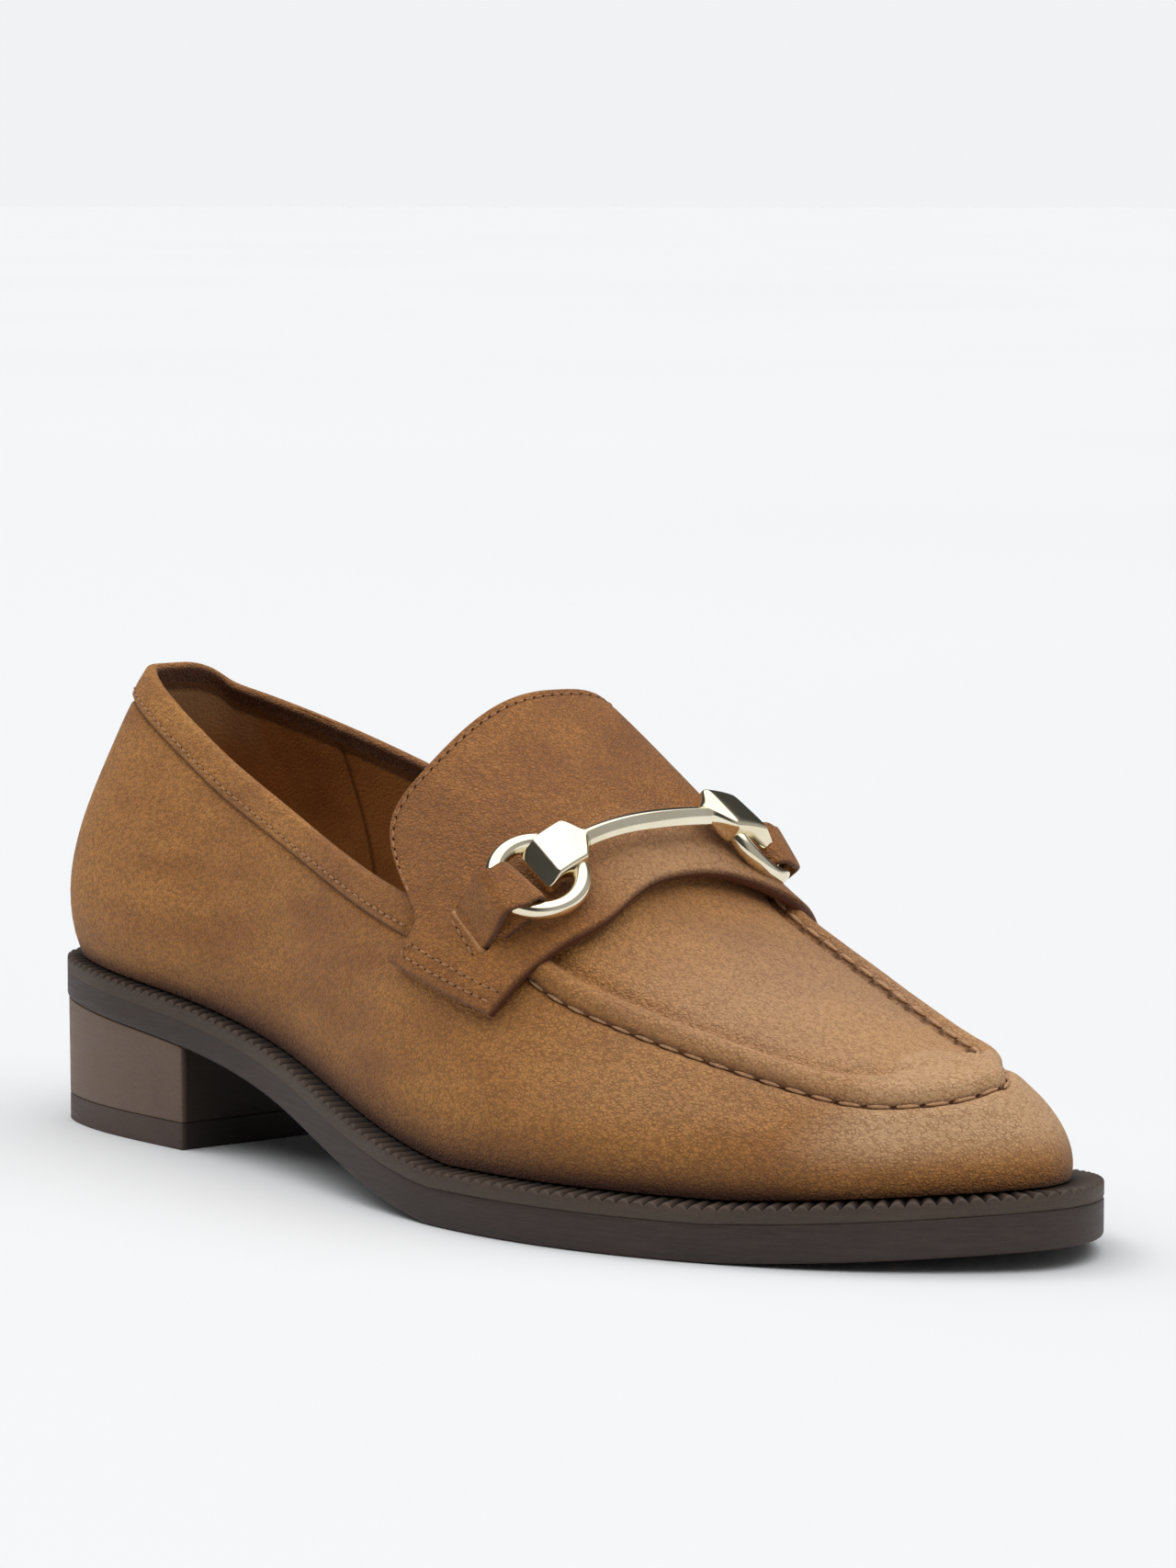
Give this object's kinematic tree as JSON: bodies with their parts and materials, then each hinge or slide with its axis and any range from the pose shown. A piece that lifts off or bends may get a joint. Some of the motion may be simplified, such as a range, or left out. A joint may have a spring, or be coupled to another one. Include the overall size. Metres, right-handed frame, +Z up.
{
  "type": "loafer with a metal bit",
  "caption": "Tan nubuck moccasin-toe loafer with a low block heel, a ribbed welt, and a saddle strap carrying a pale gold bar held between rings; a right shoe.",
  "frame": {"origin": "on the floor, in the middle of the sole's plan", "axes": "+X towards the toe, +Y towards the inner (medial) side of the foot, +Z up"},
  "size_m": [0.262, 0.094, 0.0948],
  "materials": {
    "brown_sole": "matt brown sole with a fine grain along its side",
    "brown_welt": "matt brown welt with a milled edge",
    "brown_heel": "matt brown heel with a stacked grain",
    "brown_lift": "matt brown top lift",
    "tan_insole": "smooth tan sock lining",
    "tan_nubuck": "tan nubuck, soft and matt",
    "tan_saddle": "tan nubuck with raw cut edges",
    "tan_tabs": "tan nubuck, folded",
    "pale_gold": "polished pale gold plating"
  },
  "bodies": {
    "root": {"outsole": "brown_sole", "welt": "brown_welt", "heel_block": "brown_heel", "heel_lift": "brown_lift", "insole": "tan_insole", "upper": "tan_nubuck", "saddle_tongue": "tan_saddle", "bit_bar": "pale_gold", "ring_lateral": "pale_gold", "ring_medial": "pale_gold", "ring_tab_lateral": "tan_tabs", "ring_tab_medial": "tan_tabs"}
  },
  "joints": []
}
